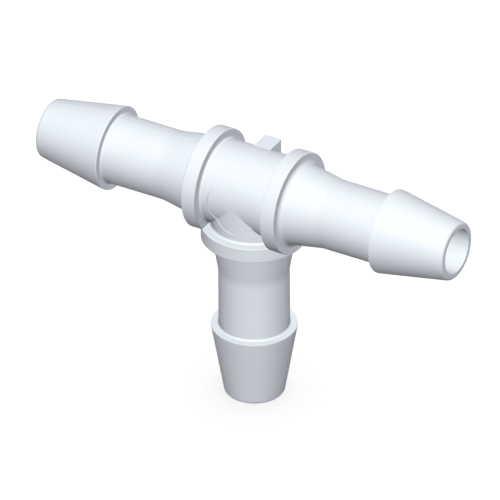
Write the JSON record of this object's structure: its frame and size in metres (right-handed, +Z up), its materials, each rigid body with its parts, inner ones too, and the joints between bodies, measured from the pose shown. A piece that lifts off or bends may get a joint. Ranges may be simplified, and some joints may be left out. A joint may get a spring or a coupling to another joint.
{
  "type": "hose barb tee",
  "caption": "Moulded white plastic tee fitting with barbed hose ends on its run and branch, round collars round a plain body, and a small lug on the back of the body.",
  "frame": {"origin": "centre of the branch's flat end face, which the tee stands on", "axes": "+X along the run, towards the end whose bore the picture shows; +Y to the back, where the lug is; +Z up, against the way the branch points"},
  "size_m": [0.062, 0.014, 0.038],
  "materials": {
    "body": "satin"
  },
  "bodies": {
    "root": {"tee_body": "body"}
  },
  "joints": []
}
